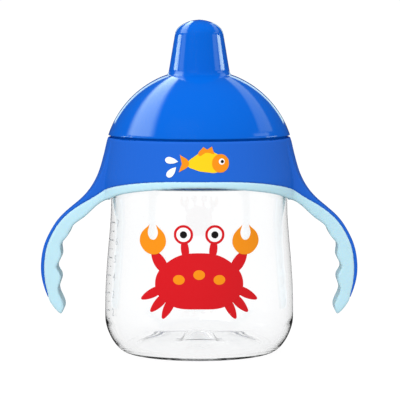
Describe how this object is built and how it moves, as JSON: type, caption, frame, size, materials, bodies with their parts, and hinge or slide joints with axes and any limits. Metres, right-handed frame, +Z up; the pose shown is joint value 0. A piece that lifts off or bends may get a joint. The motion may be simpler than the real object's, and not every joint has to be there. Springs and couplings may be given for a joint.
{
  "type": "sippy cup",
  "caption": "Clear toddler cup with a blue screw ring, soft-gripped side handles, a hard spout with a drip valve, and a domed cap that presses on over the spout.",
  "frame": {"origin": "centre of the plane that the cup stands on, on the cup's axis", "axes": "+Z up along the cup's axis, the handles along +X and -X, the printed front faces -Y"},
  "size_m": [0.1306, 0.0798, 0.1362],
  "materials": {
    "clear_shell": "clear, glossy, injection moulded",
    "ring_blue": "satin blue",
    "grip_soft": "matte light blue elastomer",
    "spout_white": "smooth white",
    "silicone": "frosted translucent silicone",
    "cap_blue": "high-gloss blue"
  },
  "bodies": {
    "cup": {"cup_body": "clear_shell"},
    "lid": {"spout": "spout_white", "lid_seal": "silicone"},
    "ring": {"handle_ring": "ring_blue", "soft_grips": "grip_soft"},
    "cap": {"cap": "cap_blue"},
    "valve": {"spout_valve": "silicone"}
  },
  "joints": [
    {"name": "lid_rise", "type": "slide", "parent": "cup", "child": "lid", "axis": [0, 0, 1], "range_m": [0, 0.0043]},
    {"name": "lid_turn", "type": "hinge", "parent": "lid", "child": "ring", "pos_m": [0, 0, 0.08], "axis": [0, 0, 1], "range_deg": [0, 340]},
    {"name": "cap_lift", "type": "slide", "parent": "lid", "child": "cap", "axis": [0, 0, 1], "range_m": [0, 0.052]},
    {"name": "valve_pull", "type": "slide", "parent": "lid", "child": "valve", "axis": [0, 0, -1], "range_m": [0, 0.015]}
  ],
  "couplings": [
    {"joint": "lid_rise", "follows": "lid_turn", "m_per_rad": 0.0007162}
  ]
}
